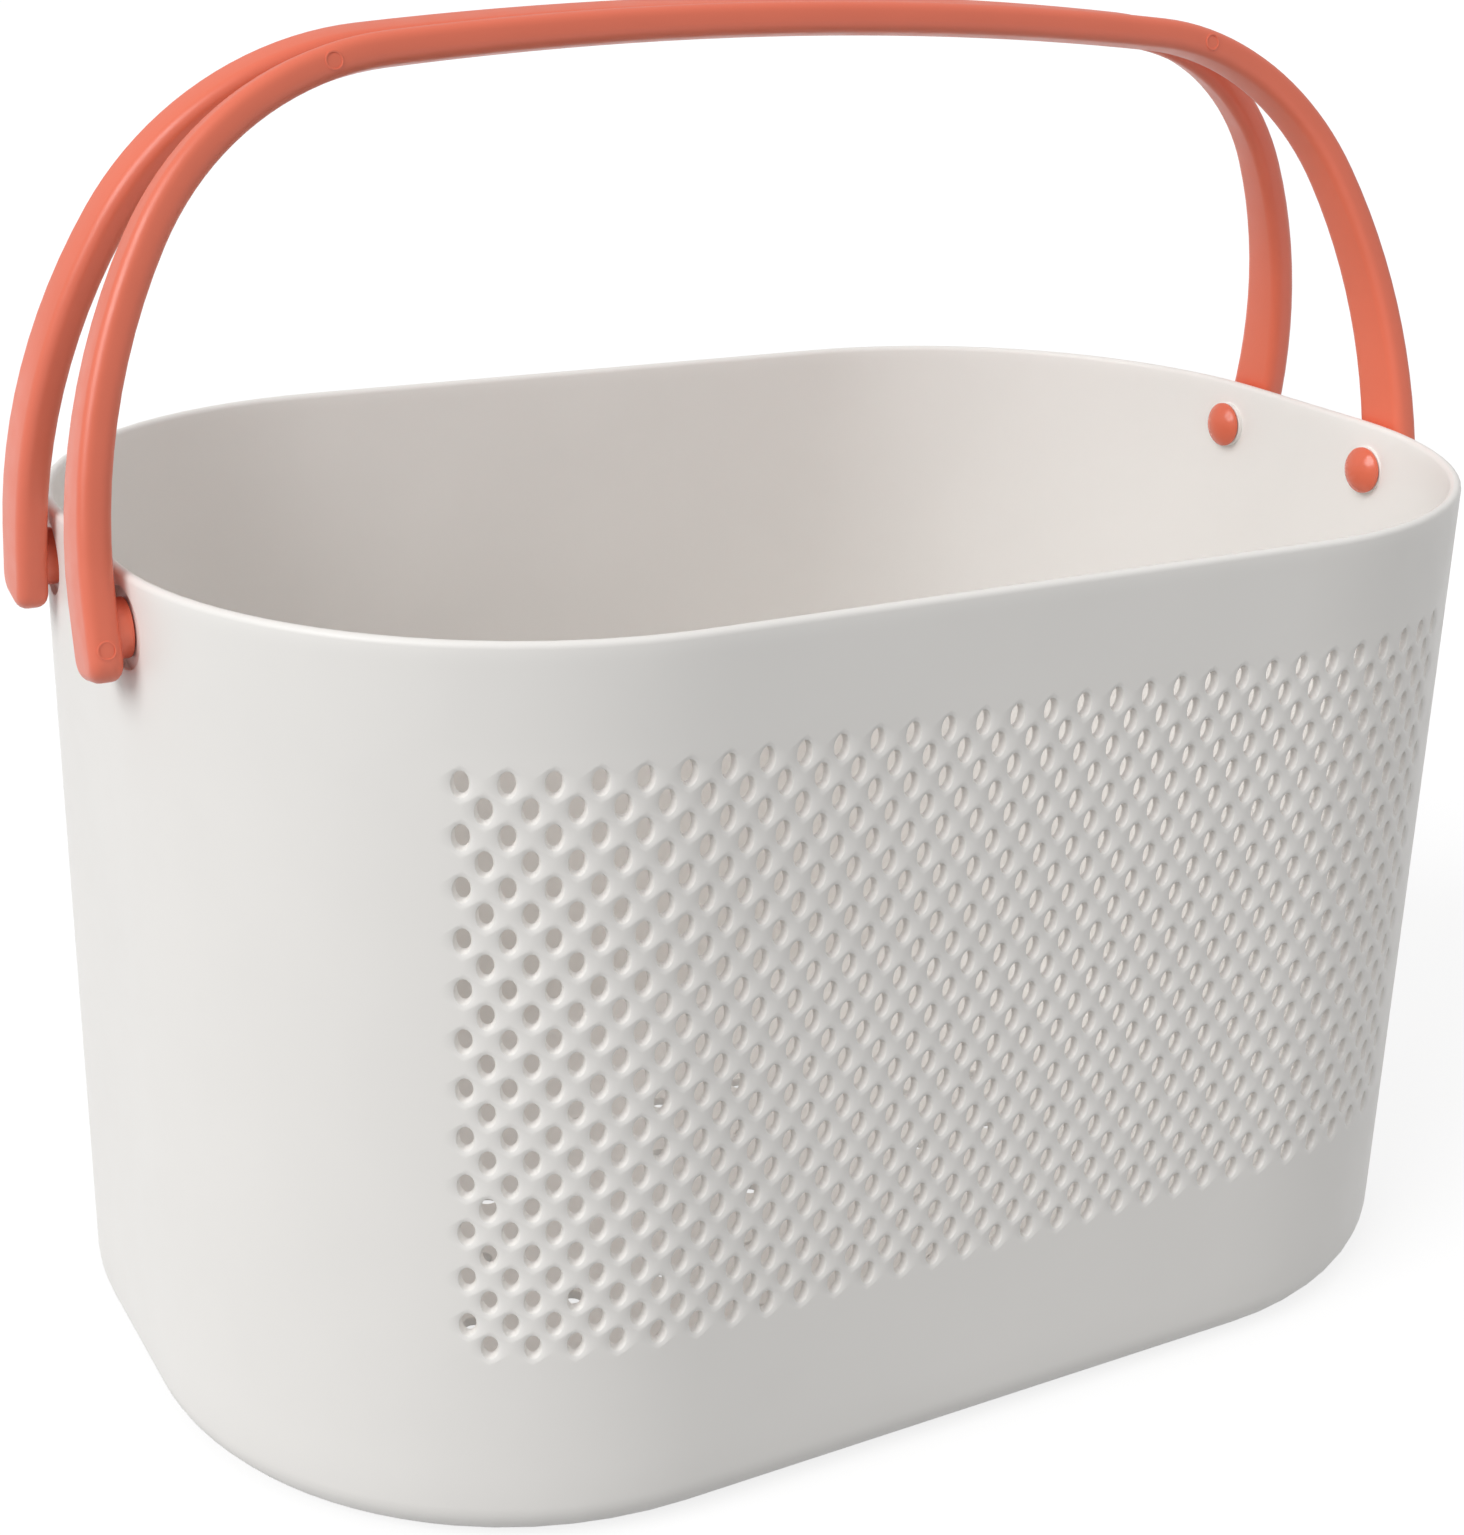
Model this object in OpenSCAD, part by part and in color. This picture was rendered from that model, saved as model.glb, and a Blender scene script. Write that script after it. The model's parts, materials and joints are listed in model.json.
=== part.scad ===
// Shower caddy: a perforated one-piece basket carried by two bows that swing on push-in pins.
// Millimetres. X runs left to right, -Y is the front, +Z is up.
// The origin is the middle of the flat underside.

/* [Basket] */
// Length of the basket, left to right
basket_l = 307; // [260:1:380]
// Width of the basket, front to back
basket_w = 205; // [180:1:250]
// Height of the basket
basket_h = 187; // [150:1:240]
// Outside radius of the four upright corners
corner_r = 83.5; // [60:0.5:88]
// Thickness of the wall
wall = 2.4; // [1.8:0.1:3.2]
// Thickness of the floor
floor_t = 3; // [2.4:0.1:4]
// Outside radius where the wall turns into the floor
bottom_r = 9; // [5:0.5:20]
// Depth of the shallow recess under the floor
foot_recess = 0.8; // [0.4:0.1:1.2]
// Width of the flat rim that the basket stands on
foot_rim = 12; // [8:1:20]

/* [Perforated panel] */
// Width of one slot
slot_w = 2.8; // [2:0.1:3.4]
// Height of one slot
slot_h = 4.6; // [3.6:0.1:6]
// Distance between neighbouring columns on the flat of the wall
column_step = 3.9; // [3.6:0.1:4.2]
// Angle between neighbouring columns on the corners
corner_step = 2.82; // [2.6:0.02:3]
// Columns on each side of the middle one
side_columns = 29; // [1:2:31]
// Slots in one column
column_slots = 12; // [1:1:12]
// Distance between the slots of a column, centre to centre
slot_pitch = 10; // [9:0.5:11]
// Height of the topmost slots over the floor that the basket stands on
panel_top = 161; // [140:1:165]

/* [Drain holes] */
// Diameter of a drain hole
drain_d = 5; // [3:0.5:8]
// Distance between drain holes
drain_pitch = 24; // [18:1:30]
// Drain holes each side of the middle one
drain_side = 4; // [1:1:4]

/* [Pivots] */
// Distance of each pivot from the middle of the end wall
pivot_y = 26; // [25.5:0.5:32]
// Depth of the pivots under the rim
pivot_drop = 11; // [10:0.5:20]
// Diameter of the round pocket outside each pivot
pocket_d = 16; // [13:0.5:20]
// Depth of that pocket
pocket_depth = 1.2; // [0.8:0.1:1.6]
// Diameter of the collar on the handle that stands in the pocket
collar_d = 11.5; // [10:0.5:14]
// Diameter of the journal on the handle that turns in the wall
journal_d = 8; // [7:0.5:9]
// Clearance round the journal
run_gap = 0.08; // [0.05:0.01:0.1]
// Play of the handle along its axis, each way
end_play = 0.3; // [0.2:0.05:0.5]
// Diameter of the head of a pin
head_d = 11; // [11:0.2:14]
// Thickness of the head of a pin at its middle
head_h = 3.2; // [2:0.1:3.5]
// Diameter of the stem of a pin, pressed into the handle
stem_d = 4.6; // [4:0.1:5]
// Length of the stem of a pin
stem_l = 7.5; // [6:0.5:8]

/* [Handles] */
// Thickness of the strap
strap_t = 6.4; // [5:0.1:8]
// Width of the strap at the pivot
strap_w = 14; // [12:0.5:18]
// Gap left between the tops of the two raised bows
meet_gap = 3; // [0.6:0.2:5]
// Gap between the end wall and the strap
side_gap = 1.4; // [1:0.1:2.5]
// Length of the strap below the pivot
strap_drop = 9.5; // [8:0.5:12]
// Radius of the strap's lower corners
strap_end_r = 4.5; // [1:0.5:6]
// Height over the pivot where the leg starts to curve inwards
leg_start = 5; // [2:0.5:12]
// Radius of the leg
leg_r = 131; // [120:1:150]
// Angle that the leg turns through
leg_turn = 29.5; // [27:0.5:32]
// Radius of the shoulder
shoulder_r = 65; // [55:1:75]
// Angle that the top of the bow rises through, from shoulder to middle
top_turn = 5.6; // [5:0.1:7]
// Lean of each raised handle towards the other
lean = 12.3; // [11:0.1:12.6]

/* [Hidden] */
$fn = 96;
over = 1;                                   // how far a cutter runs past a face
front_flat = basket_l - 2 * corner_r;       // flat stretch of the front and the back wall
end_flat = basket_w - 2 * corner_r;         // flat stretch of an end wall
pivot_z = basket_h - pivot_drop;

// x of an end wall's face at a given y, for the wall's outside (inset 0) or inside (inset wall)
function end_x(y, inset) =
    let (off = max(y - end_flat / 2, 0), r = corner_r - inset)
    front_flat / 2 + sqrt(r * r - off * off);

pocket_x = end_x(pivot_y, 0) - pocket_depth;          // floor of the pocket
pad_x = end_x(pivot_y + head_d / 2, wall) - 0.2;      // face of the pad inside the wall
pad_root_x = end_x(pivot_y, wall) + wall / 4;         // where the pad sinks into the wall
head_x = pad_x - end_play;                            // underside of a pin's head

bow_half = end_x(0, 0) + side_gap + strap_t / 2;      // x of the strap's middle at the pivot
leg_centre = [bow_half - leg_r, leg_start];
shoulder_centre = leg_centre + (leg_r - shoulder_r) * [cos(leg_turn), sin(leg_turn)];
top_r = shoulder_r + shoulder_centre.x / sin(top_turn);
top_centre = [0, shoulder_centre.y - (top_r - shoulder_r) * cos(top_turn)];
tip = top_centre.y + top_r + strap_t / 2;             // height of the bow's top over the pivot
tip_in = (pivot_y - meet_gap / 2 - tip * sin(lean)) / cos(lean);   // strap's inward face there

// Filled half section of a vessel: from its upright corner's centre line out to reach
module vessel_section(reach, low, fillet, top) {
    translate([0, low]) square([reach - fillet, top - low]);
    translate([0, low + fillet]) square([reach, top - low - fillet]);
    translate([reach - fillet, low + fillet]) circle(fillet);
}

// Section of the wall with its share of the floor, and a full round along the rim
module wall_section() {
    difference() {
        vessel_section(corner_r, 0, bottom_r, basket_h - wall / 2);
        vessel_section(corner_r - wall, floor_t, bottom_r - wall, basket_h + over);
    }
    translate([corner_r - wall / 2, basket_h - wall / 2]) circle(wall / 2);
}

module corner() {
    translate([front_flat / 2, end_flat / 2, 0]) rotate_extrude(angle = 90) wall_section();
}

module front_stretch() {
    translate([-front_flat / 2, -end_flat / 2, 0]) rotate([90, 0, 90])
        linear_extrude(front_flat) mirror([1, 0]) wall_section();
}

module end_stretch() {
    translate([front_flat / 2, end_flat / 2, 0]) rotate([90, 0, 0])
        linear_extrude(end_flat) wall_section();
}

module shell() {
    for (side = [0, 1]) {
        mirror([side, 0, 0]) corner();
        mirror([side, 0, 0]) mirror([0, 1, 0]) corner();
        mirror([0, side, 0]) front_stretch();
        mirror([side, 0, 0]) end_stretch();
    }
    translate([-front_flat / 2, -end_flat / 2, 0]) cube([front_flat, end_flat, floor_t]);
}

// Places something on the front wall's outside at a column of the panel
module at_column(i) {
    run = abs(i) * column_step;
    turn = max(run - front_flat / 2, 0) / column_step * corner_step;
    translate([sign(i) * min(run, front_flat / 2), -end_flat / 2, 0])
        rotate(sign(i) * turn) translate([0, -corner_r, 0]) children();
}

module slot() {
    reach = (slot_h - slot_w) / 2;
    rotate([90, 0, 0]) linear_extrude(2 * wall + 2 * over, center = true) {
        for (end = [-1, 1]) translate([0, end * reach]) circle(d = slot_w);
        square([slot_w, 2 * reach], center = true);
    }
}

// Staggered slots: every other column sits half a pitch lower
module panel() {
    for (i = [-side_columns : side_columns]) at_column(i)
        for (row = [0 : column_slots - 1])
            translate([0, 0, panel_top - (row + (i % 2 == 0 ? 0.5 : 0)) * slot_pitch]) slot();
}

// Rows of holes through the floor, each a hole shorter than the row before it
module drains() {
    for (row = [-2 : 2]) {
        side = drain_side - abs(row) / 2;
        for (i = [-side : side]) translate([i * drain_pitch, row * drain_pitch, -over])
            cylinder(h = floor_t + 2 * over, d = drain_d);
    }
}

// Shallow recess that leaves a rim to stand on
module foot_pan() {
    r = corner_r - bottom_r - foot_rim;
    for (sx = [-1, 1], sy = [-1, 1]) translate([sx * front_flat / 2, sy * end_flat / 2, -over])
        cylinder(h = over + foot_recess, r = r);
    translate([-front_flat / 2, -end_flat / 2 - r, -over])
        cube([front_flat, end_flat + 2 * r, over + foot_recess]);
    translate([-front_flat / 2 - r, -end_flat / 2, -over])
        cube([front_flat + 2 * r, end_flat, over + foot_recess]);
}

// Repeats something made at the pivot at +X, on both ends and at both pivots of each
module at_pivots() {
    for (sx = [0, 1], sy = [-1, 1]) mirror([sx, 0, 0]) translate([0, sy * pivot_y, pivot_z])
        rotate([0, 90, 0]) children();
}

module basket() {
    color("whitesmoke") difference() {
        union() {
            shell();
            at_pivots() translate([0, 0, pad_x]) cylinder(h = pad_root_x - pad_x, d = head_d);
        }
        panel();
        drains();
        foot_pan();
        at_pivots() {
            translate([0, 0, pocket_x]) cylinder(h = 2 * pocket_depth + over, d = pocket_d);
            translate([0, 0, pad_x - over])
                cylinder(h = pocket_x - pad_x + 2 * over, d = journal_d + 2 * run_gap);
        }
    }
}

// Points along an arc in the handle's upright plane, from one angle to another
function arc(centre, r, from, to, step) =
    let (n = ceil(abs(to - from) / step))
    [for (k = [0 : n]) centre + r * [cos(from + (to - from) * k / n), sin(from + (to - from) * k / n)]];

// Right half of one edge of the strap, from its end up to the top; out is the distance outwards
function bow_edge(out) = concat(
    [[bow_half + out, -strap_drop - over]],
    arc(leg_centre, leg_r + out, 0, leg_turn, 2),
    arc(shoulder_centre, shoulder_r + out, leg_turn, 90 - top_turn, 3),
    arc(top_centre, top_r + out, 90 - top_turn, 90, 0.5));

function mirrored(points) = [for (k = [len(points) - 1 : -1 : 0]) [-points[k].x, points[k].y]];
function reversed(points) = [for (k = [len(points) - 1 : -1 : 0]) points[k]];

// The strap in full width: a slow arc over the top, then shoulder, leg and straight end
module strap() {
    outer = bow_edge(strap_t / 2);
    inner = bow_edge(-strap_t / 2);
    rotate([90, 0, 0]) linear_extrude(strap_w, center = true)
        polygon(concat(outer, mirrored(outer), reversed(mirrored(inner)), reversed(inner)));
}

// Side view of the strap: it narrows towards the top on the face that meets the other handle
module strap_side() {
    r = strap_end_r;
    for (y = [-1, 1]) translate([y * (strap_w / 2 - r), r - strap_drop]) circle(r);
    translate([r - strap_w / 2, -strap_drop]) square([strap_w - 2 * r, strap_drop]);
    translate([-strap_w / 2, r - strap_drop]) square([strap_w, strap_drop]);
    polygon([[-strap_w / 2, 0], [strap_w / 2, 0], [strap_w / 2, strap_drop],
             [tip_in, tip], [tip_in, tip + over], [-strap_w / 2, tip + over]]);
}

// A handle with its pivot axis along X through the origin
module handle() {
    difference() {
        union() {
            intersection() {
                strap();
                rotate([90, 0, 90]) linear_extrude(2 * bow_half + 2 * strap_t, center = true)
                    strap_side();
            }
            for (side = [0, 1]) mirror([side, 0, 0]) rotate([0, 90, 0]) {
                translate([0, 0, pocket_x + end_play])
                    cylinder(h = bow_half - pocket_x - end_play, d = collar_d);
                translate([0, 0, head_x]) cylinder(h = bow_half - head_x, d = journal_d);
            }
        }
        for (side = [0, 1]) mirror([side, 0, 0]) rotate([0, 90, 0])
            translate([0, 0, head_x - over]) cylinder(h = stem_l + over, d = stem_d);
    }
}

module front_handle() {
    color("coral") translate([0, -pivot_y, pivot_z]) rotate([-lean, 0, 0]) handle();
}

module back_handle() {
    color("coral") rotate(180) front_handle();
}

// Push-in pin: a stem under a low domed head, pressed in from inside the basket
module pin(x_side, y_side) {
    rim = 0.8;
    dome = head_h - rim;
    dome_r = (head_d * head_d / 4 + dome * dome) / (2 * dome);
    color("tomato") translate([0, y_side * pivot_y, pivot_z])
        mirror([x_side < 0 ? 1 : 0, 0, 0]) rotate([0, 90, 0]) translate([0, 0, head_x]) {
            cylinder(h = stem_l, d = stem_d);
            translate([0, 0, -rim]) cylinder(h = rim, d = head_d);
            intersection() {
                translate([0, 0, dome_r - head_h]) sphere(dome_r);
                translate([0, 0, -head_h]) cylinder(h = dome, d = head_d);
            }
        }
}

basket();
front_handle();
back_handle();
pin(-1, -1);  // front_left_pin
pin(1, -1);  // front_right_pin
pin(-1, 1);  // back_left_pin
pin(1, 1);  // back_right_pin
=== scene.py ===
"""Shower caddy: a perforated white basket carried by two coral bows that swing on push-in pins.

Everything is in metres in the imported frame: X along the basket, -Y the perforated front, Z up.
The outer sizes and the pivots come from the frame, and the rest are properties in the sidebar.
"""
import json
from math import acos, asin, atan2, copysign, cos, pi, radians, sin, sqrt

import bmesh
import bpy
from mathutils import Matrix, Vector


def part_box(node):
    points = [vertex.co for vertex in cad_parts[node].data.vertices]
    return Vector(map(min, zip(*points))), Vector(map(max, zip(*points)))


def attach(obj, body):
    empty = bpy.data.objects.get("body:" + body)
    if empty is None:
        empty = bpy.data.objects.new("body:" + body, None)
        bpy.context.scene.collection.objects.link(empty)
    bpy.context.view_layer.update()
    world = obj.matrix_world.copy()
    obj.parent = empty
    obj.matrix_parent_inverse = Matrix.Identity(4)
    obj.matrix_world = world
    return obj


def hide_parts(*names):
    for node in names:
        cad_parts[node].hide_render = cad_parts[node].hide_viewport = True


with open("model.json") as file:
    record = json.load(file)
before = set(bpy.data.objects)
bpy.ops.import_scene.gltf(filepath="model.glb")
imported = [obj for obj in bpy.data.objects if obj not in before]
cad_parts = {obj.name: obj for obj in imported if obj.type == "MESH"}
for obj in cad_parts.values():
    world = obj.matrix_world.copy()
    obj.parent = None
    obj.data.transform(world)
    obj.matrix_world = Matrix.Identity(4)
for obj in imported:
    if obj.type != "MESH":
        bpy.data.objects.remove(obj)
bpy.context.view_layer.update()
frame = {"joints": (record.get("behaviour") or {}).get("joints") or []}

bl_info = {
    "name": "Shower Caddy",
    "version": (1, 0, 0),
    "blender": (4, 5, 0),
    "location": "View3D > Sidebar > Caddy",
    "description": "Models a perforated shower caddy with two swinging handles",
    "category": "Add Mesh",
}

MM = 0.001
MERGE = 0.001 * MM              # points closer than this are one point
BASKET_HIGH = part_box("basket")[1]
STRAP_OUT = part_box("back_handle")[1].x
PIVOT = Vector(next(j["pos_m"] for j in frame["joints"] if j["child"] == "back_handle"))


# ---------------------------------------------------------------- properties

def size(name, text, millimetres):
    """A length property, given in millimetres."""
    return bpy.props.FloatProperty(name=name, description=text, default=millimetres * MM, min=0,
                                   precision=5, unit="LENGTH", subtype="DISTANCE")


def angle(name, text, turn):
    """An angle property, given in degrees."""
    return bpy.props.FloatProperty(name=name, description=text, default=radians(turn),
                                   unit="ROTATION", subtype="ANGLE")


def number(name, text, default):
    return bpy.props.IntProperty(name=name, description=text, default=default, min=1)


def share(name, text, default):
    return bpy.props.FloatProperty(name=name, description=text, default=default, min=0, max=1,
                                   subtype="FACTOR")


def colour(name, text, default):
    return bpy.props.FloatVectorProperty(name=name, description=text, default=default, min=0, max=1,
                                         size=3, subtype="COLOR")


class BasketSizes(bpy.types.PropertyGroup):
    half_l: size("Half length", "Half of the basket's length", BASKET_HIGH.x / MM)
    half_w: size("Half width", "Half of the basket's width", BASKET_HIGH.y / MM)
    height: size("Height", "Height of the rim", BASKET_HIGH.z / MM)
    corner_r: size("Corner radius", "Outside radius of the upright corners", 83.5)
    wall: size("Wall", "Thickness of the wall", 2.4)
    floor_t: size("Floor", "Thickness of the floor", 3)
    bottom_r: size("Bottom radius", "Outside radius where the wall turns into the floor", 9)
    foot_recess: size("Foot recess", "Depth of the recess under the floor", 0.8)
    foot_rim: size("Foot rim", "Width of the rim that the basket stands on", 12)
    drain_d: size("Drain hole", "Diameter of a drain hole", 5)
    drain_pitch: size("Drain pitch", "Distance between drain holes", 24)
    drain_side: number("Drain columns", "Drain holes each side of the middle one", 4)
    pocket_d: size("Pocket", "Diameter of the pocket round each pivot", 16)
    pocket_depth: size("Pocket depth", "Depth of that pocket", 1.2)
    bore_d: size("Bore", "Diameter of the pivot bore", 8.16)
    pad_d: size("Pad", "Diameter of the pad inside each pivot", 11)
    pad_rise: size("Pad rise", "Least height of the pad over the wall", 0.2)


class SlotSizes(bpy.types.PropertyGroup):
    width: size("Slot width", "Width of a slot", 2.8)
    height: size("Slot height", "Height of a slot", 4.6)
    lead_in: size("Lead-in", "Radius of the rounded edge outside each slot", 1.05)
    column_step: size("Column step", "Distance between columns on the flat", 3.9)
    corner_step: angle("Corner step", "Angle between columns on the corners", 2.82)
    side_columns: number("Side columns", "Columns each side of the middle one", 29)
    rows: number("Rows", "Slots in a column", 12)
    pitch: size("Pitch", "Distance between the slots of a column", 10)
    top: size("Top row", "Height of the topmost slots", 161)


class HandleSizes(bpy.types.PropertyGroup):
    strap_t: size("Thickness", "Thickness of the strap", 6.4)
    strap_w: size("Width", "Width of the strap at the pivot", 14)
    meet_gap: size("Meeting gap", "Gap between the tops of the raised bows", 3)
    drop: size("Drop", "Length of the strap below the pivot", 9.5)
    end_r: size("End radius", "Radius of the strap's lower corners", 4.5)
    edge_r: size("Edge radius", "Radius of the strap's long edges", 2.3)
    leg_start: size("Leg start", "Height over the pivot where the leg starts to curve", 5)
    leg_r: size("Leg radius", "Radius of the leg", 131)
    leg_turn: angle("Leg turn", "Angle that the leg turns through", 29.5)
    shoulder_r: size("Shoulder radius", "Radius of the shoulder", 65)
    top_turn: angle("Top turn", "Rise of the top of the bow", 5.6)
    lean: angle("Lean", "Lean of a raised handle towards the other", 12.3)
    collar_d: size("Collar", "Diameter of the collar in the pocket", 11.5)
    journal_d: size("Journal", "Diameter of the journal in the wall", 8)
    end_play: size("End play", "Play of a handle along its axis", 0.3)
    head_d: size("Pin head", "Diameter of a pin's head", 11)
    head_h: size("Head height", "Height of a pin's head", 3.2)
    head_rim: size("Head rim", "Height of the straight rim of a pin's head", 0.8)
    stem_d: size("Stem", "Diameter of a pin's stem", 4.6)
    stem_l: size("Stem length", "Length of a pin's stem", 7.5)
    mark_d: size("Mould ring", "Diameter of a faint ring left by the mould", 3.7)
    mark_turn: angle("Mould ring turn", "Turn of the upper ring from the top of the shoulder", 11)


class CaddyFinish(bpy.types.PropertyGroup):
    white: colour("Basket", "Colour of the basket", (0.91, 0.89, 0.86))
    coral: colour("Handles", "Colour of the handles", (0.88, 0.18, 0.095))
    pin: colour("Pins", "Colour of the pins", (0.78, 0.155, 0.08))
    white_gloss: share("Basket roughness", "Roughness of the basket", 0.42)
    coral_gloss: share("Handle roughness", "Roughness of the handles", 0.36)
    pin_gloss: share("Pin roughness", "Roughness of the pins", 0.24)
    floor: colour("Floor", "Colour of the floor", (0.3, 0.3, 0.3))
    floor_glow: share("Floor glow", "Light that the floor gives of itself, like a lit table", 0.75)


class StageSizes(bpy.types.PropertyGroup):
    azimuth: angle("Azimuth", "Turn of the camera round the caddy", -29.4)
    elevation: angle("Elevation", "Height of the camera over the horizon", 21.04)
    roll: angle("Roll", "Roll of the camera", 1.6)
    distance: size("Distance", "Distance of the camera from its target", 711.5)
    target: bpy.props.FloatVectorProperty(name="Target", description="Point that the camera looks at",
                                          default=(0.05987, 0.1209, 0.06219), subtype="TRANSLATION")
    lens: bpy.props.FloatProperty(name="Lens", description="Focal length in millimetres",
                                  default=57.52, unit="CAMERA")
    floor_span: size("Floor span", "Half width of the floor", 12000)
    sky_below: share("Sky below", "Strength of the surround under the horizon", 0.2)
    sky_above: share("Sky above", "Strength of the surround over the horizon", 0.6)
    key_side: bpy.props.FloatVectorProperty(name="Key side", description="Direction that the key light is in",
                                            default=(-0.78, -0.2, 0.6), subtype="DIRECTION")
    key_strength: bpy.props.FloatProperty(name="Key strength", description="Strength of the key light",
                                          default=1.72, min=0)
    key_softness: angle("Key softness", "How wide the key light looks from the caddy", 40)


# ---------------------------------------------------------------- mesh helpers

def spaced(first, last, steps):
    """The stops after first, in equal steps up to last."""
    return [first + (last - first) * k / steps for k in range(1, steps + 1)]


def verts_of(edges):
    return list(dict.fromkeys(v for e in edges for v in e.verts))


def edges_of(verts):
    return list(dict.fromkeys(e for v in verts for e in v.link_edges))


def everything(bm):
    return bm.verts[:] + bm.edges[:] + bm.faces[:]


def push(bm, edges, move):
    """Extrudes a row of edges, places the new points with move, and gives back the new row."""
    made = bmesh.ops.extrude_edge_only(bm, edges=edges)["geom"]
    fresh = {g for g in made if isinstance(g, bmesh.types.BMVert)}
    for vert in fresh:
        vert.co = move(vert.co)
    return [g for g in made if isinstance(g, bmesh.types.BMEdge) and fresh.issuperset(g.verts)]


def circle(bm, radius, segments, matrix):
    """A ring of edges, as its points and its edges."""
    verts = bmesh.ops.create_circle(bm, segments=segments, radius=radius, matrix=matrix)["verts"]
    return verts, edges_of(verts)


def lathe(bm, profile, axis, matrix, steps=40):
    """Adds a profile of (along, radius) points, spun round the axis through the origin."""
    turned = bmesh.new()
    out = Vector((0, 0, 1))
    verts = [turned.verts.new(axis * along + out * radius) for along, radius in profile]
    edges = [turned.edges.new(pair) for pair in zip(verts, verts[1:])]
    bmesh.ops.spin(turned, geom=verts + edges, cent=(0, 0, 0), axis=axis, dvec=(0, 0, 0),
                   angle=2 * pi, steps=steps, use_merge=True)
    bmesh.ops.remove_doubles(turned, verts=turned.verts, dist=MERGE)
    bmesh.ops.recalc_face_normals(turned, faces=turned.faces)
    bmesh.ops.transform(turned, matrix=matrix, verts=turned.verts)
    mesh = bpy.data.meshes.new("turned")
    turned.to_mesh(mesh)
    turned.free()
    bm.from_mesh(mesh)
    bpy.data.meshes.remove(mesh)


def rounded(first, last, steps):
    """Points of a quarter round between two (along, radius) points, leaving the first along the axis."""
    (a0, r0), (a1, r1) = first, last
    turns = [k * pi / 2 / steps for k in range(steps + 1)]
    return [(a0 + (a1 - a0) * sin(t), r0 + (r1 - r0) * (1 - cos(t))) for t in turns]


def finished(bm, name, material, sharp=38):
    """Turns a bmesh into a smooth piece with crisp edges where its faces meet sharply."""
    for face in bm.faces:
        face.smooth = True
    for edge in bm.edges:
        edge.smooth = edge.calc_face_angle(0) < radians(sharp)
    mesh = bpy.data.meshes.new(name)
    bm.to_mesh(mesh)
    bm.free()
    piece = bpy.data.objects.new(name, mesh)
    piece.data.materials.append(material)
    bpy.context.scene.collection.objects.link(piece)
    return piece


# ---------------------------------------------------------------- the basket's plan

class Plan:
    """The rounded plan, walked from the middle of the front: run is the way walked outside."""

    def __init__(self, basket, slots):
        self.r = basket.corner_r
        self.cx = basket.half_l - basket.corner_r
        self.cy = basket.half_w - basket.corner_r
        self.per_turn = slots.column_step / slots.corner_step
        self.end_start = self.cx + self.per_turn * pi / 2
        self.end_stop = self.end_start + 2 * self.cy
        self.back_start = self.end_stop + self.per_turn * pi / 2
        self.half = self.back_start + self.cx

    def point(self, u, depth):
        """x and y at a signed run and a depth in from the outside."""
        run, r = abs(u), self.r - depth
        if run <= self.cx:
            x, y = run, -self.cy - r
        elif run <= self.end_start:
            turn = (run - self.cx) / self.per_turn
            x, y = self.cx + r * sin(turn), -self.cy - r * cos(turn)
        elif run <= self.end_stop:
            x, y = self.cx + r, -self.cy + run - self.end_start
        elif run <= self.back_start:
            turn = (run - self.end_stop) / self.per_turn
            x, y = self.cx + r * cos(turn), self.cy + r * sin(turn)
        else:
            x, y = self.half - run, self.cy + r
        return copysign(x, u), y

    def run_at(self, y):
        """Run of the point of an end wall, or of its corners, at a given y."""
        if y < -self.cy:
            return self.cx + acos((-self.cy - y) / self.r) * self.per_turn
        if y > self.cy:
            return self.end_stop + asin((y - self.cy) / self.r) * self.per_turn
        return self.end_start + y + self.cy

    def end_x(self, y, depth):
        """x of the end wall at a given y and depth."""
        off = max(abs(y) - self.cy, 0)
        return self.cx + sqrt((self.r - depth) ** 2 - off * off)


# ---------------------------------------------------------------- the perforated sheet

TILE_SIDES = 16                 # sides of a slot and of the tile round it; a multiple of 4
UPRIGHT = Matrix.Rotation(pi / 2, 4, "X")


def outline_point(turn, slots, depth):
    """Point of a tile's six-sided outline, evenly spaced along each side, as its neighbours share it."""
    a, b = slots.column_step, slots.pitch / 2
    side = (b * b - a * a) / (2 * b)
    peak = b - side
    quarter = TILE_SIDES // 4
    step = round(asin(min(abs(sin(turn)), 1)) / (pi / 2) * quarter)
    if step == 0:
        return Vector((copysign(a, cos(turn)), depth, 0))
    up_slope = (step - 1) / (quarter - 1)
    return Vector((copysign(a * (1 - up_slope), cos(turn)), depth,
                   copysign(side + (peak - side) * up_slope, sin(turn))))


def slot_tile(bm, slots, wall):
    """A tile of the wall round one oval slot, whose outside edge is rounded."""
    half_w, half_h, lead = slots.width / 2, slots.height / 2, slots.lead_in

    def oval(turn, grow, depth):
        return Vector(((half_w + grow) * cos(turn), depth, (half_h + grow) * sin(turn)))

    def turn_of(co, grow):
        return atan2(co.z / (half_h + grow), co.x / (half_w + grow))

    verts, edges = circle(bm, 1, TILE_SIDES, UPRIGHT)
    for vert in verts:
        vert.co = oval(atan2(vert.co.z, vert.co.x), 0, lead)
    row = edges
    last = 0
    for turn in (pi / 4, 0):
        grow, depth = lead * (1 - sin(turn)), lead * (1 - cos(turn))
        row = push(bm, row, lambda co: oval(turn_of(co, last), grow, depth))
        last = grow
    push(bm, row, lambda co: outline_point(turn_of(co, last), slots, 0))
    row = push(bm, edges, lambda co: oval(turn_of(co, 0), 0, wall))
    push(bm, row, lambda co: outline_point(turn_of(co, 0), slots, wall))


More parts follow.
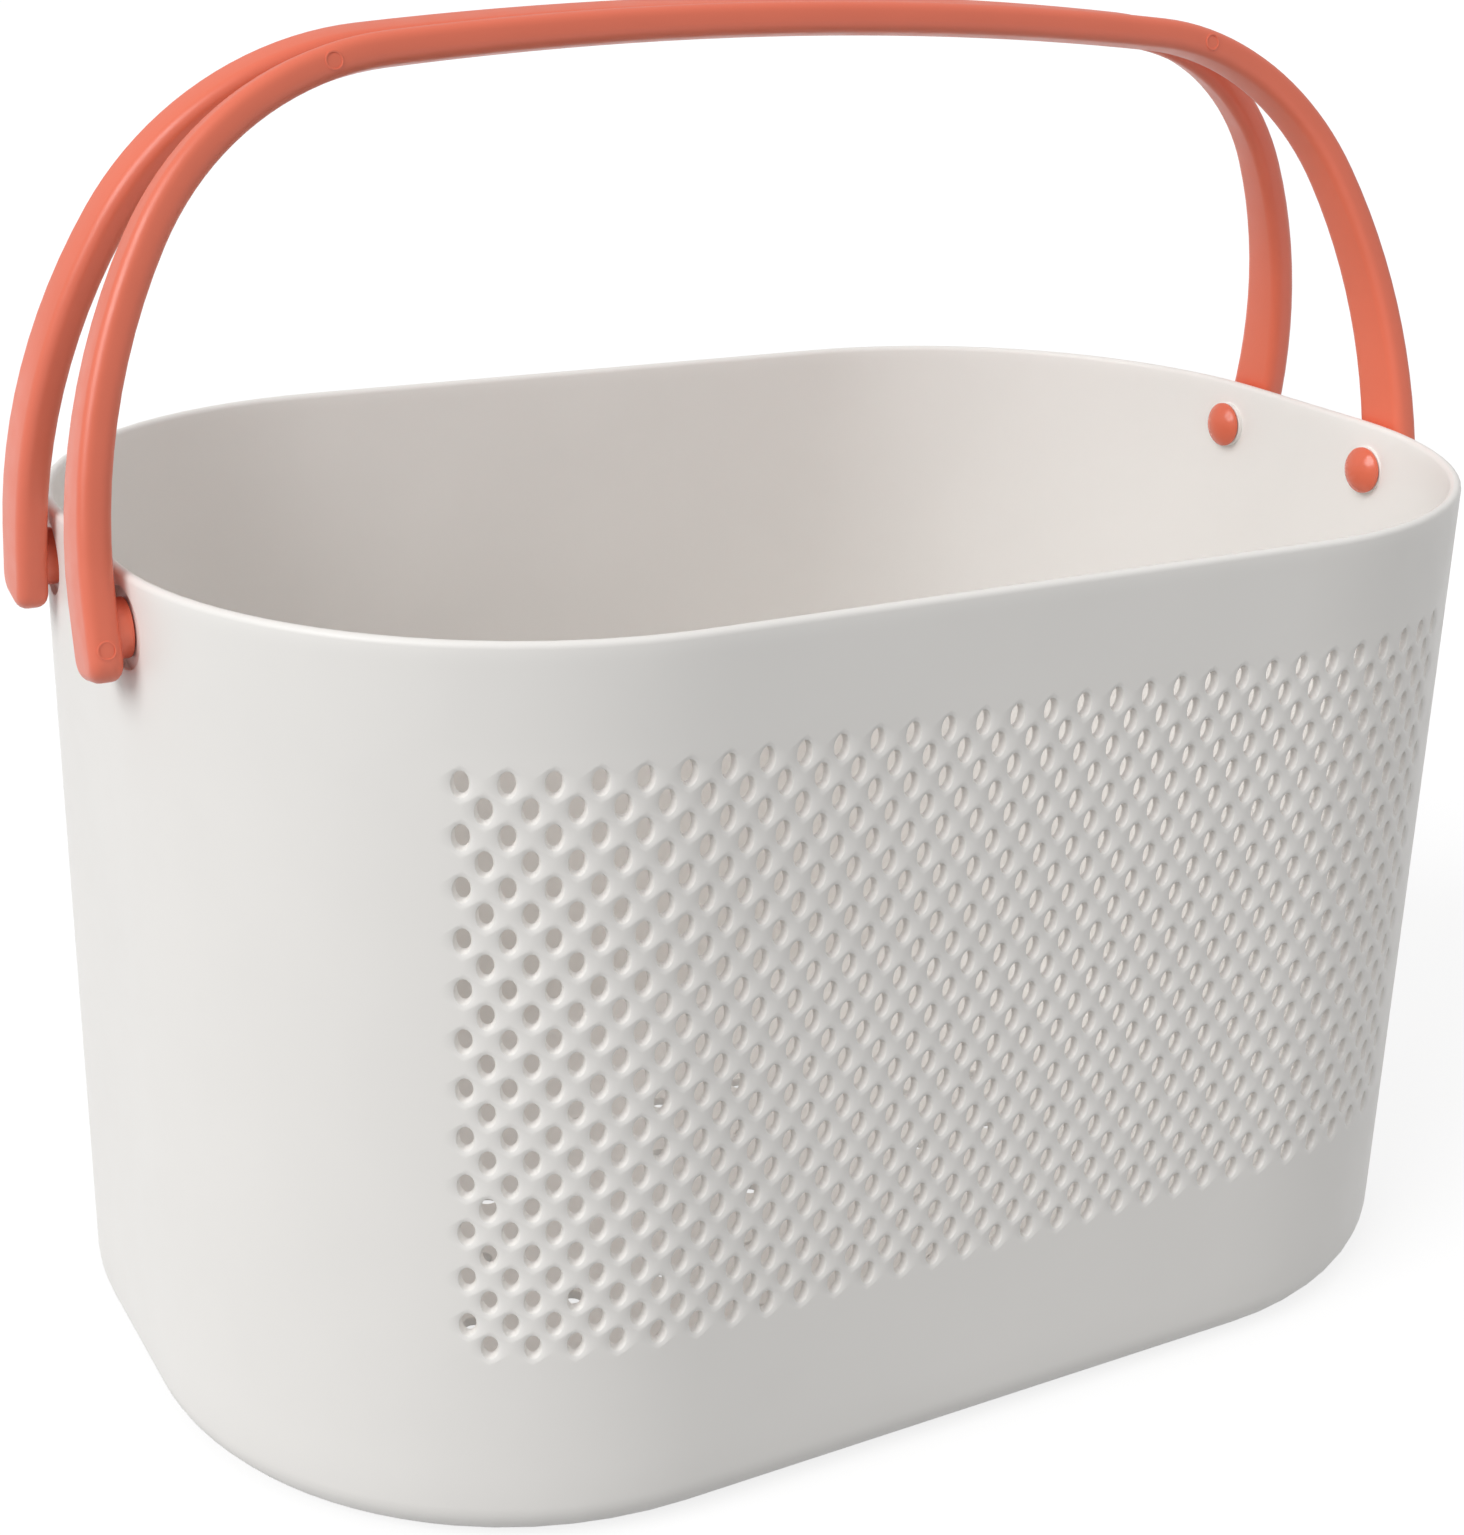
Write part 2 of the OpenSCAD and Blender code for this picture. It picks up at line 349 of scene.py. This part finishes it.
def blank_tile(bm, slots, wall):
    """A tile of the wall with no slot."""
    for depth in (0, wall):
        made = bmesh.ops.create_circle(bm, cap_ends=True, radius=1, segments=TILE_SIDES, matrix=UPRIGHT)
        for vert in made["verts"]:
            vert.co = outline_point(atan2(vert.co.z, vert.co.x), slots, depth)


def tile_mesh(make, slots, wall):
    bm = bmesh.new()
    make(bm, slots, wall)
    mesh = bpy.data.meshes.new(make.__name__)
    bm.to_mesh(mesh)
    bm.free()
    return mesh


def place(bm, mesh, offset):
    """Adds a copy of a mesh, moved by offset."""
    known = len(bm.verts)
    bm.from_mesh(mesh)
    bm.verts.ensure_lookup_table()
    bmesh.ops.translate(bm, verts=bm.verts[known:], vec=offset)


def column_mesh(tiles, name, pitch):
    """A column of tiles, one above the topmost slot's place and the rest going down from it."""
    bm = bmesh.new()
    for row, tile in enumerate(tiles):
        place(bm, tile, (0, 0, (1 - row) * pitch))
    mesh = bpy.data.meshes.new(name)
    bm.to_mesh(mesh)
    bm.free()
    return mesh


def perforated_sheet(slots, wall):
    """The flat sheet of staggered slots, trimmed to straight edges, as (run, depth, height)."""
    slot = tile_mesh(slot_tile, slots, wall)
    blank = tile_mesh(blank_tile, slots, wall)
    open_column = column_mesh([blank] + [slot] * slots.rows + [blank], "open_column", slots.pitch)
    shut_column = column_mesh([blank] * (slots.rows + 2), "shut_column", slots.pitch)
    bm = bmesh.new()
    last = slots.side_columns + 1
    for i in range(-last, last + 1):
        lower = slots.pitch / 2 if i % 2 == 0 else 0
        column = shut_column if abs(i) == last else open_column
        place(bm, column, (i * slots.column_step, 0, slots.top - lower))
    for mesh in (slot, blank, open_column, shut_column):
        bpy.data.meshes.remove(mesh)
    bmesh.ops.remove_doubles(bm, verts=bm.verts, dist=MERGE)
    side, top = last * slots.column_step, slots.top + slots.pitch / 2
    bottom = slots.top - slots.rows * slots.pitch
    for point, normal in (((side, 0, 0), (1, 0, 0)), ((-side, 0, 0), (-1, 0, 0)),
                          ((0, 0, top), (0, 0, 1)), ((0, 0, bottom), (0, 0, -1))):
        bmesh.ops.bisect_plane(bm, geom=everything(bm), dist=MERGE, plane_co=point,
                               plane_no=normal, clear_outer=True)
    return bm, side, top, bottom


# ---------------------------------------------------------------- the basket

PATCH = 10 * MM                 # half width of the patch round a pivot
PATCH_STEPS = 8                 # and the faces along each of its sides
BETWEEN_STEPS = 4               # columns of faces between the two patches of an end
FRONT_CORNER_STEPS = 12
BACK_CORNER_STEPS = 16
BACK_STEPS = 6                  # from a back corner to the middle of the back
RIM_STEPS = 8
SKIRT_STEPS = 4                 # from the panel down to the bottom round
FILLET_STEPS = 8


def border(bm, axis, value):
    """The open edges that lie at a value along an axis."""
    return [e for e in bm.edges
            if e.is_boundary and all(abs(v.co[axis] - value) < MERGE for v in e.verts)]


def wall_stops(plan, side):
    """Runs of the plain wall's columns, from the panel's side to the middle of the back."""
    low, high = PIVOT.y - PATCH, PIVOT.y + PATCH
    stops = spaced(side, plan.run_at(-high), FRONT_CORNER_STEPS)
    stops += [plan.run_at(y) for y in spaced(-high, -low, PATCH_STEPS)]
    stops += [plan.run_at(y) for y in spaced(-low, low, BETWEEN_STEPS)]
    stops += [plan.run_at(y) for y in spaced(low, high, PATCH_STEPS)]
    stops += spaced(plan.run_at(high), plan.back_start, BACK_CORNER_STEPS)
    return stops + spaced(plan.back_start, plan.half, BACK_STEPS)


def go_round(bm, plan, side):
    """Carries the sheet on round the corners to the middle of the back, both ways."""
    for way in (-1, 1):
        edges = border(bm, 0, way * side)
        for run in wall_stops(plan, side):
            edges = push(bm, edges, lambda co: Vector((way * run, co.y, co.z)))


def raise_rim(bm, basket, top):
    """Carries both faces of the wall up, and closes them over the full round of the rim."""
    round_r = basket.wall / 2
    edges = border(bm, 2, top)
    for height in spaced(top, basket.height - round_r, PATCH_STEPS):
        edges = push(bm, edges, lambda co: Vector((co.x, co.y, height)))
    outer = [e for e in edges if e.verts[0].co.y < round_r]
    for turn in spaced(0, pi, RIM_STEPS):
        depth, height = round_r * (1 - cos(turn)), basket.height - round_r + round_r * sin(turn)
        outer = push(bm, outer, lambda co: Vector((co.x, depth, height)))


def lower_wall(bm, basket, bottom):
    """Carries both faces down and round into the floor."""
    edges = border(bm, 2, bottom)
    faces = ((0, 0, basket.bottom_r), (basket.wall, basket.floor_t, basket.bottom_r - basket.wall))
    for start, level, radius in faces:
        row = [e for e in edges if abs(e.verts[0].co.y - start) < MERGE]
        for height in spaced(bottom, level + radius, SKIRT_STEPS):
            row = push(bm, row, lambda co: Vector((co.x, co.y, height)))
        for turn in spaced(0, pi / 2, FILLET_STEPS):
            depth, height = start + radius * (1 - cos(turn)), level + radius * (1 - sin(turn))
            row = push(bm, row, lambda co: Vector((co.x, depth, height)))
        if start:
            push(bm, row, lambda co: Vector((co.x, start + radius + basket.wall, level)))
        else:
            inner = radius + basket.foot_rim
            foot_round = basket.foot_recess / 2
            for depth, height in ((inner - foot_round, 0), (inner - foot_round / 4, foot_round / 3),
                                  (inner, basket.foot_recess * 0.9), (inner + foot_round, basket.foot_recess),
                                  (inner + basket.wall, basket.foot_recess)):
                row = push(bm, row, lambda co: Vector((co.x, depth, height)))


def open_patches(bm, plan, top):
    """Takes out the wall's faces round each pivot."""
    for y in (-PIVOT.y, PIVOT.y):
        low, high = plan.run_at(y - PATCH), plan.run_at(y + PATCH)
        gone = []
        for face in bm.faces:
            centre = face.calc_center_median()
            on_band = top < centre.z < 2 * PIVOT.z - top
            if on_band and low < abs(centre.x) < high:
                gone.append(face)
        bmesh.ops.delete(bm, geom=gone, context="FACES")


def turn_on_square(y, z):
    """Turn at which a point of the patch's border, scaled to a square, meets a ring inside it."""
    if abs(y) > abs(z):
        turn = (0 if y > 0 else pi) + pi / 4 * z / y
    else:
        turn = (pi / 2 if z > 0 else -pi / 2) - pi / 4 * y / z
    step = pi / 2 / PATCH_STEPS
    return round(turn / step) * step


def pivot_chain(bm, plan, way, y, border_edges, rings):
    """Carries a patch's border in through rings round the pivot; a ring is flat at x, or at a depth."""
    reach_z = max(abs(v.co.z - PIVOT.z) for v in verts_of(border_edges))

    def onto(turn, radius, x, depth):
        at_y, at_z = y + radius * cos(turn), PIVOT.z + radius * sin(turn)
        return Vector((way * (plan.end_x(at_y, depth) if x is None else x), at_y, at_z))

    row = border_edges
    turn_at = lambda co: turn_on_square((co.y - y) / PATCH, (co.z - PIVOT.z) / reach_z)
    for radius, x, depth in rings:
        row = push(bm, row, lambda co: onto(turn_at(co), radius, x, depth))
        turn_at = lambda co: atan2(co.z - PIVOT.z, co.y - y)


def pivot_seat(bm, plan, basket, way, y):
    """One pivot's pocket outside, its bore through the wall, and its pad inside."""
    soft, lip = 0.12 * MM, 0.3 * MM
    pocket_r, bore_r, pad_r = basket.pocket_d / 2, basket.bore_d / 2, basket.pad_d / 2
    pocket_x = plan.end_x(PIVOT.y, 0) - basket.pocket_depth
    pad_x = plan.end_x(PIVOT.y + pad_r, basket.wall) - basket.pad_rise
    middle = (pocket_x + pad_x) / 2
    near = [e for e in bm.edges if e.is_boundary and e.verts[0].co.z > basket.height / 2
            and e.verts[0].co.x * way > 0 and e.verts[0].co.y * y > 0]
    outside = [e for e in near
               if abs(e.verts[0].co.x) > plan.end_x(e.verts[0].co.y, basket.wall / 2)]
    inside = [e for e in near if e not in outside]
    pivot_chain(bm, plan, way, y, outside,
                ((pocket_r + soft, None, 0), (pocket_r, None, soft), (pocket_r, pocket_x, 0),
                 (bore_r + lip, pocket_x, 0), (bore_r, pocket_x - lip, 0), (bore_r, middle, 0)))
    pivot_chain(bm, plan, way, y, inside,
                ((pad_r, None, basket.wall), (pad_r, pad_x + soft, 0), (pad_r - soft, pad_x, 0),
                 (bore_r + lip, pad_x, 0), (bore_r, pad_x + lip, 0), (bore_r, middle, 0)))


def drain(bm, basket, x, y):
    """One hole through the floor, with a rounded edge on top."""
    radius, lead = basket.drain_d / 2, basket.drain_d / 8
    middle = Vector((x, y, 0))

    def onto(co, grow, height):
        out = Vector((co.x - x, co.y - y, 0)).normalized()
        return middle + out * (radius + grow) + Vector((0, 0, height))

    there = Matrix.Translation((x, y, basket.floor_t))
    row = circle(bm, radius + lead, TILE_SIDES, there)[1]
    for turn in (pi / 4, pi / 2):
        grow, height = lead * (1 - sin(turn)), basket.floor_t - lead * (1 - cos(turn))
        row = push(bm, row, lambda co: onto(co, grow, height))
    push(bm, row, lambda co: onto(co, 0, basket.foot_recess))


def close_floor(bm, basket):
    """Cuts the drain holes and fills the floor between them, on both faces."""
    for row in range(-2, 3):
        side = basket.drain_side - abs(row) / 2
        for k in range(int(2 * side) + 1):
            drain(bm, basket, (k - side) * basket.drain_pitch, row * basket.drain_pitch)
    for level, up in ((basket.floor_t, 1), (basket.foot_recess, -1)):
        bmesh.ops.triangle_fill(bm, use_beauty=True, edges=border(bm, 2, level), normal=(0, 0, up))


def basket_piece(basket, slots, material):
    """The whole basket, unrolled first and then bent round its plan."""
    plan = Plan(basket, slots)
    bm, side, top, bottom = perforated_sheet(slots, basket.wall)
    go_round(bm, plan, side)
    raise_rim(bm, basket, top)
    lower_wall(bm, basket, bottom)
    open_patches(bm, plan, top)
    for vert in bm.verts:
        vert.co.x, vert.co.y = plan.point(vert.co.x, vert.co.y)
    bmesh.ops.remove_doubles(bm, verts=bm.verts, dist=MERGE)
    for way in (-1, 1):
        for y in (-PIVOT.y, PIVOT.y):
            pivot_seat(bm, plan, basket, way, y)
    bmesh.ops.remove_doubles(bm, verts=bm.verts, dist=MERGE)
    close_floor(bm, basket)
    bmesh.ops.recalc_face_normals(bm, faces=bm.faces)
    return finished(bm, "basket_shell", material)


# ---------------------------------------------------------------- handles and pins

def pivot_stations(basket, slots, handle):
    """Places along a pivot's axis: the collar's face, and the underside of the pin's head."""
    plan = Plan(basket, slots)
    collar_x = plan.end_x(PIVOT.y, 0) - basket.pocket_depth + handle.end_play
    head_x = plan.end_x(PIVOT.y + basket.pad_d / 2, basket.wall) - basket.pad_rise - handle.end_play
    return collar_x, head_x


def sweep(bm, edges, centre, turn, steps):
    """Carries a ring of edges along an arc in the handle's plane."""
    spun = bmesh.ops.spin(bm, geom=verts_of(edges) + edges, cent=(centre[0], 0, centre[1]),
                          axis=(0, -1, 0), dvec=(0, 0, 0), angle=turn, steps=steps)
    return [g for g in spun["geom_last"] if isinstance(g, bmesh.types.BMEdge)]


class Bow:
    """The line of a handle's strap in its own plane, with the pivots on the X axis."""

    def __init__(self, handle):
        self.half = STRAP_OUT - handle.strap_t / 2
        self.leg = Vector((self.half - handle.leg_r, handle.leg_start))
        turn = handle.leg_turn
        self.shoulder = self.leg + (handle.leg_r - handle.shoulder_r) * Vector((cos(turn), sin(turn)))
        self.top_r = handle.shoulder_r + self.shoulder.x / sin(handle.top_turn)
        self.top = Vector((0, self.shoulder.y - (self.top_r - handle.shoulder_r) * cos(handle.top_turn)))
        self.tip = self.top.y + self.top_r + handle.strap_t / 2

    def inward_face(self, handle, height):
        """How far the strap reaches towards the other handle, at a height over the pivot."""
        at_top = (PIVOT.y - handle.meet_gap / 2 - self.tip * sin(handle.lean)) / cos(handle.lean)
        share_up = max(height - handle.drop, 0) / (self.tip - handle.drop)
        return handle.strap_w / 2 + (at_top - handle.strap_w / 2) * share_up


def strap(handle, bow):
    """The bow: one rounded strap, swept up the leg, over the shoulder and along the top."""
    bm = bmesh.new()
    bmesh.ops.create_grid(bm, x_segments=1, y_segments=1, size=0.5)
    bmesh.ops.scale(bm, verts=bm.verts, vec=(handle.strap_t, handle.strap_w, 1))
    bmesh.ops.translate(bm, verts=bm.verts, vec=(bow.half, 0, -handle.drop))
    edges = bm.edges[:]
    for height in (0, handle.leg_start):
        edges = push(bm, edges, lambda co: Vector((co.x, co.y, height)))
    shoulder_turn = pi / 2 - handle.leg_turn - handle.top_turn
    edges = sweep(bm, edges, bow.leg, handle.leg_turn, 12)
    edges = sweep(bm, edges, bow.shoulder, shoulder_turn, 20)
    sweep(bm, edges, bow.top, handle.top_turn, 12)
    bmesh.ops.mirror(bm, geom=everything(bm), matrix=Matrix(), merge_dist=MERGE * 10, axis="X")
    bmesh.ops.recalc_face_normals(bm, faces=bm.faces)
    for vert in bm.verts:
        if vert.co.y > 0:
            vert.co.y = bow.inward_face(handle, vert.co.z)
    low_corners = [e for e in bm.edges
                   if all(abs(v.co.z + handle.drop) < MERGE for v in e.verts)
                   and abs(e.verts[0].co.y - e.verts[1].co.y) < MERGE]
    bmesh.ops.bevel(bm, geom=low_corners, offset=handle.end_r, offset_type="OFFSET", segments=6,
                    profile=0.5, affect="EDGES", material=-1)
    outline = [e for e in bm.edges if e.calc_face_angle(0) > radians(60)]
    bmesh.ops.bevel(bm, geom=outline, offset=handle.edge_r, offset_type="OFFSET", segments=5,
                    profile=0.5, affect="EDGES", material=-1)
    return bm


def pivot_boss(bm, handle, bow, collar_x, head_x):
    """The collar that stands in the pocket, and the journal that turns in the wall."""
    collar_r, journal_r = handle.collar_d / 2, handle.journal_d / 2
    soft = 0.4 * MM
    profile = [(bow.half, 0), (bow.half, collar_r)]
    profile += rounded((collar_x + soft, collar_r), (collar_x, collar_r - soft), 4)
    profile += [(collar_x, journal_r), (head_x + soft / 2, journal_r), (head_x, journal_r - soft / 2),
                (head_x, 0)]
    for way in (-1, 1):
        lathe(bm, profile, Vector((1, 0, 0)), Matrix.Rotation(0 if way > 0 else pi, 4, "Z"))


def mould_mark(bm, handle, place):
    """The faint raised ring that an ejector pin leaves on the outward face."""
    outer, width = handle.mark_d / 2, 0.4 * MM
    rise, sunk = 0.15 * MM, 0.3 * MM
    profile = [(sunk, outer), (-rise / 2, outer), (-rise, outer - width / 3),
               (-rise, outer - width * 2 / 3), (-rise / 2, outer - width), (sunk, outer - width),
               (sunk, outer)]
    there = Matrix.Translation((place.x, -handle.strap_w / 2, place.y))
    lathe(bm, profile, Vector((0, 1, 0)), there, steps=24)


def handle_piece(name, basket, slots, handle, turned, material):
    """One handle, leaning towards the other."""
    bow = Bow(handle)
    bm = strap(handle, bow)
    pivot_boss(bm, handle, bow, *pivot_stations(basket, slots, handle))
    turn = pi / 2 - handle.top_turn - handle.mark_turn
    on_shoulder = bow.shoulder + handle.shoulder_r * Vector((cos(turn), sin(turn)))
    for place in (on_shoulder, Vector((bow.half, -handle.drop / 3))):
        for way in (-1, 1):
            mould_mark(bm, handle, Vector((way * place.x, place.y)))
    lean = Matrix.Translation((0, -PIVOT.y, PIVOT.z)) @ Matrix.Rotation(-handle.lean, 4, "X")
    bmesh.ops.transform(bm, matrix=Matrix.Rotation(turned, 4, "Z") @ lean, verts=bm.verts)
    return finished(bm, name, material)


def pin_piece(name, basket, slots, handle, way, y, material):
    """A push-in pin: a low domed head inside the basket, on a stem pressed into the handle."""
    head_x = pivot_stations(basket, slots, handle)[1]
    head_r, stem_r = handle.head_d / 2, handle.stem_d / 2
    dome = handle.head_h - handle.head_rim
    dome_r = (head_r * head_r + dome * dome) / (2 * dome)
    full = asin(head_r / dome_r)
    soft = handle.head_rim / 4
    profile = [(head_x - handle.head_h + dome_r * (1 - cos(t)), dome_r * sin(t))
               for t in [0] + spaced(0, full * 0.93, 8)]
    edge_x = head_x - handle.head_rim
    profile += [(edge_x - soft / 3, head_r - soft / 2), (edge_x + soft / 2, head_r),
                (head_x - soft, head_r), (head_x, head_r - soft), (head_x, stem_r),
                (head_x + handle.stem_l - soft, stem_r), (head_x + handle.stem_l, stem_r - soft),
                (head_x + handle.stem_l, 0)]
    bm = bmesh.new()
    there = Matrix.Translation((0, y, PIVOT.z)) @ Matrix.Rotation(0 if way > 0 else pi, 4, "Z")
    lathe(bm, profile, Vector((1, 0, 0)), there)
    return finished(bm, name, material)


# ---------------------------------------------------------------- materials

class Nodes:
    """A material's nodes, added one at a time with their values and links."""

    def __init__(self, name):
        self.material = bpy.data.materials.new(name)
        self.material.use_nodes = True
        self.tree = self.material.node_tree
        self.shader = self.tree.nodes["Principled BSDF"]
        self.where = self.add("ShaderNodeTexCoord").outputs["Object"]

    def add(self, kind, values=None, **settings):
        node = self.tree.nodes.new(kind)
        for key, value in settings.items():
            setattr(node, key, value)
        for key, value in (values or {}).items():
            if isinstance(value, bpy.types.NodeSocket):
                self.tree.links.new(value, node.inputs[key])
            else:
                node.inputs[key].default_value = value
        return node

    def noise(self, across, detail=2):
        """Noise whose patches are about as wide as across."""
        values = {"Vector": self.where, "Scale": 1 / across, "Detail": detail, "Roughness": 0.5}
        return self.add("ShaderNodeTexNoise", values).outputs["Fac"]

    def spread(self, value, low, high):
        """A value about 0.5 made one from low to high."""
        values = {"Value": value, "From Min": 0.3, "From Max": 0.7, "To Min": low, "To Max": high}
        return self.add("ShaderNodeMapRange", values).outputs["Result"]

    def blend(self, amount, first, second):
        node = self.add("ShaderNodeMix", data_type="RGBA")
        self.tree.links.new(amount, node.inputs["Factor"])
        node.inputs[6].default_value = (*first, 1)
        node.inputs[7].default_value = (*second, 1)
        return node.outputs[2]

    def bump(self, height, distance, below=None):
        values = {"Height": height, "Distance": distance, "Strength": 1.0}
        if below:
            values["Normal"] = below
        return self.add("ShaderNodeBump", values).outputs["Normal"]

    def shade(self, **values):
        for key, value in values.items():
            socket = self.shader.inputs[key.replace("_", " ")]
            if isinstance(value, bpy.types.NodeSocket):
                self.tree.links.new(value, socket)
            else:
                socket.default_value = value
        return self.material


def moulded_plastic(name, tint, roughness, flow, grain, shine):
    """Satin moulded polypropylene: faint flow clouds in its colour, a spark-eroded grain, and soft waves."""
    cloud_across, wave_across = 35 * MM, 22 * MM
    patch_across, grain_across = 6 * MM, 0.45 * MM
    wave_height = 0.05 * MM
    n = Nodes(name)
    clouds = n.spread(n.noise(cloud_across, detail=3), 0, 1)
    darker = tuple(c * (1 - flow) for c in tint)
    waves = n.bump(n.noise(wave_across, detail=1), wave_height)
    texture = n.bump(n.noise(grain_across), grain, below=waves)
    patches = n.noise(patch_across, detail=4)
    return n.shade(Base_Color=n.blend(clouds, darker, tint),
                   Roughness=n.spread(patches, roughness - 0.04, roughness + 0.05),
                   Normal=texture, IOR=1.49, Specular_IOR_Level=shine)


def floor_material(tint, glow):
    """A pale floor with wide, faint clouds, that gives some light of its own."""
    n = Nodes("pale_floor")
    cloud_across = 600 * MM
    clouds = n.spread(n.noise(cloud_across), 0, 1)
    darker = tuple(c * 0.985 for c in tint)
    return n.shade(Base_Color=n.blend(clouds, darker, tint), Roughness=0.85,
                   Emission_Color=(1, 1, 1, 1), Emission_Strength=glow)


# ---------------------------------------------------------------- the stage

def camera(stage):
    """The camera, turned round its target and rolled a little."""
    turn, up = stage.azimuth, stage.elevation
    back = Vector((sin(turn) * cos(up), -cos(turn) * cos(up), sin(up)))
    right = Vector((back.y, -back.x, 0)).normalized() * -1
    over = back.cross(right)
    level = Matrix((right, over, back)).transposed().to_4x4()
    data = bpy.data.cameras.new("camera")
    data.lens, data.sensor_width, data.sensor_fit = stage.lens, 36, "AUTO"
    data.clip_start, data.clip_end = 0.01, 100
    made = bpy.data.objects.new("camera", data)
    spot = Vector(stage.target) + back * stage.distance
    made.matrix_world = Matrix.Translation(spot) @ level @ Matrix.Rotation(stage.roll, 4, "Z")
    bpy.context.scene.collection.objects.link(made)
    bpy.context.scene.camera = made


def key_light(stage):
    """A distant, wide and soft light."""
    data = bpy.data.lights.new("key", "SUN")
    data.energy, data.angle = stage.key_strength, stage.key_softness
    made = bpy.data.objects.new("key", data)
    made.matrix_world = Vector(stage.key_side).to_track_quat("Z", "Y").to_matrix().to_4x4()
    bpy.context.scene.collection.objects.link(made)


def floor_piece(stage, material):
    """The floor, which sends no diffuse light back onto the caddy."""
    bm = bmesh.new()
    bmesh.ops.create_grid(bm, x_segments=2, y_segments=2, size=stage.floor_span)
    floor = finished(bm, "floor", material)
    floor.visible_diffuse = False


def sky(stage):
    """An even surround whose strength rises from below the horizon to above it."""
    dark_until, light_from = -0.3, 0.05         # heights of the change, as parts of a whole sphere's radius
    world = bpy.data.worlds.new("studio")
    world.use_nodes = True
    tree = world.node_tree
    where = tree.nodes.new("ShaderNodeTexCoord")
    axes = tree.nodes.new("ShaderNodeSeparateXYZ")
    rise = tree.nodes.new("ShaderNodeMapRange")
    for key, value in (("From Min", dark_until), ("From Max", light_from),
                       ("To Min", stage.sky_below), ("To Max", stage.sky_above)):
        rise.inputs[key].default_value = value
    tree.links.new(where.outputs["Generated"], axes.inputs[0])
    tree.links.new(axes.outputs["Z"], rise.inputs["Value"])
    tree.links.new(rise.outputs["Result"], tree.nodes["Background"].inputs["Strength"])
    tree.nodes["Background"].inputs["Color"].default_value = (1, 1, 1, 1)
    bpy.context.scene.world = world


# ---------------------------------------------------------------- operators

class CADDY_OT_basket(bpy.types.Operator):
    """Make the perforated basket"""
    bl_idname = "caddy.basket"
    bl_label = "Basket"

    def execute(self, context):
        scene = context.scene
        finish = scene.caddy_finish
        white = moulded_plastic("white_polypropylene", finish.white, finish.white_gloss,
                                flow=0.02, grain=0.004 * MM, shine=0.5)
        piece = basket_piece(scene.caddy_basket, scene.caddy_slots, white)
        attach(piece, "basket")
        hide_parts("basket")
        return {"FINISHED"}


class CADDY_OT_handles(bpy.types.Operator):
    """Make the two carry handles"""
    bl_idname = "caddy.handles"
    bl_label = "Handles"

    def execute(self, context):
        scene = context.scene
        finish = scene.caddy_finish
        coral = moulded_plastic("coral_polypropylene", finish.coral, finish.coral_gloss,
                                flow=0.05, grain=0.004 * MM, shine=0.7)
        for body, turned in (("front_handle", 0), ("back_handle", pi)):
            piece = handle_piece(body + "_bow", scene.caddy_basket, scene.caddy_slots,
                                 scene.caddy_handle, turned, coral)
            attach(piece, body)
            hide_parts(body)
        return {"FINISHED"}


class CADDY_OT_pins(bpy.types.Operator):
    """Make the four push-in pins"""
    bl_idname = "caddy.pins"
    bl_label = "Pins"

    def execute(self, context):
        scene = context.scene
        finish = scene.caddy_finish
        coral = moulded_plastic("coral_pin_plastic", finish.pin, finish.pin_gloss,
                                flow=0.03, grain=0.001 * MM, shine=0.7)
        for end, y in (("front", -PIVOT.y), ("back", PIVOT.y)):
            for side, way in (("left", -1), ("right", 1)):
                node = f"{end}_{side}_pin"
                piece = pin_piece(node + "_domed", scene.caddy_basket, scene.caddy_slots,
                                  scene.caddy_handle, way, y, coral)
                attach(piece, f"{end}_handle")
                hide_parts(node)
        return {"FINISHED"}


class CADDY_OT_stage(bpy.types.Operator):
    """Make the floor, the lights and the camera"""
    bl_idname = "caddy.stage"
    bl_label = "Stage"

    def execute(self, context):
        scene = context.scene
        finish = scene.caddy_finish
        floor_piece(scene.caddy_stage, floor_material(finish.floor, finish.floor_glow))
        sky(scene.caddy_stage)
        key_light(scene.caddy_stage)
        camera(scene.caddy_stage)
        scene.view_settings.view_transform = "Standard"
        return {"FINISHED"}


class CADDY_PT_panel(bpy.types.Panel):
    bl_label = "Shower Caddy"
    bl_idname = "CADDY_PT_panel"
    bl_space_type = "VIEW_3D"
    bl_region_type = "UI"
    bl_category = "Caddy"

    def draw(self, context):
        for title, group, operator in (("Basket", "caddy_basket", "caddy.basket"),
                                       ("Slots", "caddy_slots", None),
                                       ("Handles", "caddy_handle", "caddy.handles"),
                                       ("Pins", None, "caddy.pins"),
                                       ("Finish", "caddy_finish", None),
                                       ("Stage", "caddy_stage", "caddy.stage")):
            box = self.layout.box()
            box.label(text=title)
            if group:
                sizes = getattr(context.scene, group)
                for name in sizes.__annotations__:
                    box.prop(sizes, name)
            if operator:
                box.operator(operator)


GROUPS = {"caddy_basket": BasketSizes, "caddy_slots": SlotSizes, "caddy_handle": HandleSizes,
          "caddy_finish": CaddyFinish, "caddy_stage": StageSizes}
CLASSES = (*GROUPS.values(), CADDY_OT_basket, CADDY_OT_handles, CADDY_OT_pins, CADDY_OT_stage,
           CADDY_PT_panel)


def register():
    for cls in CLASSES:
        bpy.utils.register_class(cls)
    for name, group in GROUPS.items():
        setattr(bpy.types.Scene, name, bpy.props.PointerProperty(type=group))


def unregister():
    for name in GROUPS:
        delattr(bpy.types.Scene, name)
    for cls in reversed(CLASSES):
        bpy.utils.unregister_class(cls)


def main():
    register()
    bpy.ops.caddy.stage()
    bpy.ops.caddy.basket()
    bpy.ops.caddy.handles()
    bpy.ops.caddy.pins()


if __name__ == "__main__":
    main()
